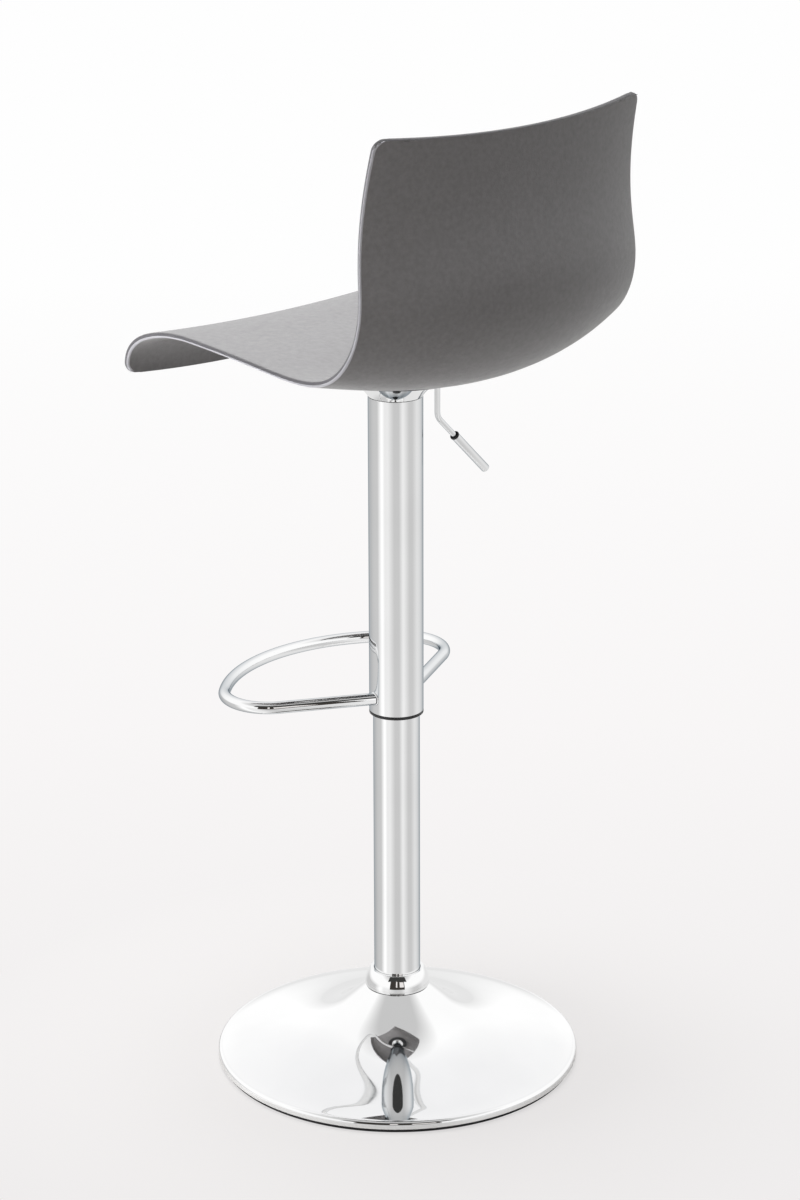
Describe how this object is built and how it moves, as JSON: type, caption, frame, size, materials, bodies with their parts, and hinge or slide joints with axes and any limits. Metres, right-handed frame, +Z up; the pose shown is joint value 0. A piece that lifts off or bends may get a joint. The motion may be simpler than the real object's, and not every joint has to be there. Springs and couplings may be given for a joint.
{
  "type": "bar stool",
  "caption": "Height-adjustable swivelling bar stool: moulded plastic shell seat with a low curved back, chromed column with looped footrest and side release lever, on a round flared base.",
  "frame": {"origin": "where the column's axis meets the floor", "axes": "+Z up along the column, the sitter faces -Y, the release lever is at the sitter's right on -X"},
  "size_m": [0.392, 0.4271, 1.0674],
  "materials": {
    "chrome": "mirror-polished chrome plate",
    "grey_plastic": "fine-grained satin moulding",
    "black_plastic": "satin",
    "black_rubber": "matt",
    "black_steel": "satin powder coat",
    "zinc_steel": "zinc plated",
    "cast_iron": "raw casting",
    "brass": "turned"
  },
  "bodies": {
    "base": {"base_trumpet": "chrome", "base_floor_ring": "black_rubber", "base_weight_plate": "cast_iron", "base_collar": "chrome", "stand_tube": "chrome", "stand_tube_foot": "zinc_steel", "foot_bolt_1": "zinc_steel", "foot_bolt_2": "zinc_steel", "foot_bolt_3": "zinc_steel", "guide_bush": "black_plastic", "bearing_lower_washer": "zinc_steel", "bearing_balls": "zinc_steel"},
    "spindle": {"piston_rod": "chrome", "rod_clip": "zinc_steel", "gas_piston": "zinc_steel", "bearing_upper_washer": "zinc_steel"},
    "carriage": {"gas_cylinder": "black_steel", "rod_guide": "black_plastic", "footrest_sleeve": "chrome", "sleeve_end_ring": "black_plastic", "sleeve_top_disc": "zinc_steel", "sleeve_bell": "chrome", "footrest_loop": "chrome", "seat_plate": "black_steel", "taper_hub": "zinc_steel", "seat_shell": "grey_plastic", "seat_insert_1": "brass", "seat_insert_2": "brass", "seat_insert_3": "brass", "seat_insert_4": "brass", "seat_bolt_1": "black_steel", "seat_bolt_2": "black_steel", "seat_bolt_3": "black_steel", "seat_bolt_4": "black_steel", "lever_bracket": "black_steel", "lever_pivot_pin": "zinc_steel"},
    "lever": {"release_lever": "chrome", "lever_grip": "chrome", "lever_grip_ring": "black_plastic"},
    "valve": {"valve_button": "zinc_steel"}
  },
  "joints": [
    {"name": "seat_swivel", "type": "hinge", "parent": "base", "child": "spindle", "pos_m": [0, 0, 0.02], "axis": [0, 0, 1], "continuous": true},
    {"name": "column_lift", "type": "slide", "parent": "spindle", "child": "carriage", "axis": [0, 0, 1], "range_m": [-0.21, 0]},
    {"name": "lever_lift", "type": "hinge", "parent": "carriage", "child": "lever", "pos_m": [-0.03, 0, 0.7941], "axis": [0, 1, 0], "range_deg": [0, 7], "stiffness_Nm_per_rad": 2, "springref_deg": -5.73},
    {"name": "valve_press", "type": "slide", "parent": "carriage", "child": "valve", "axis": [0, 0, -1], "range_m": [0, 0.004]}
  ],
  "couplings": [
    {"joint": "valve_press", "follows": "lever_lift", "m_per_rad": 0.032}
  ]
}
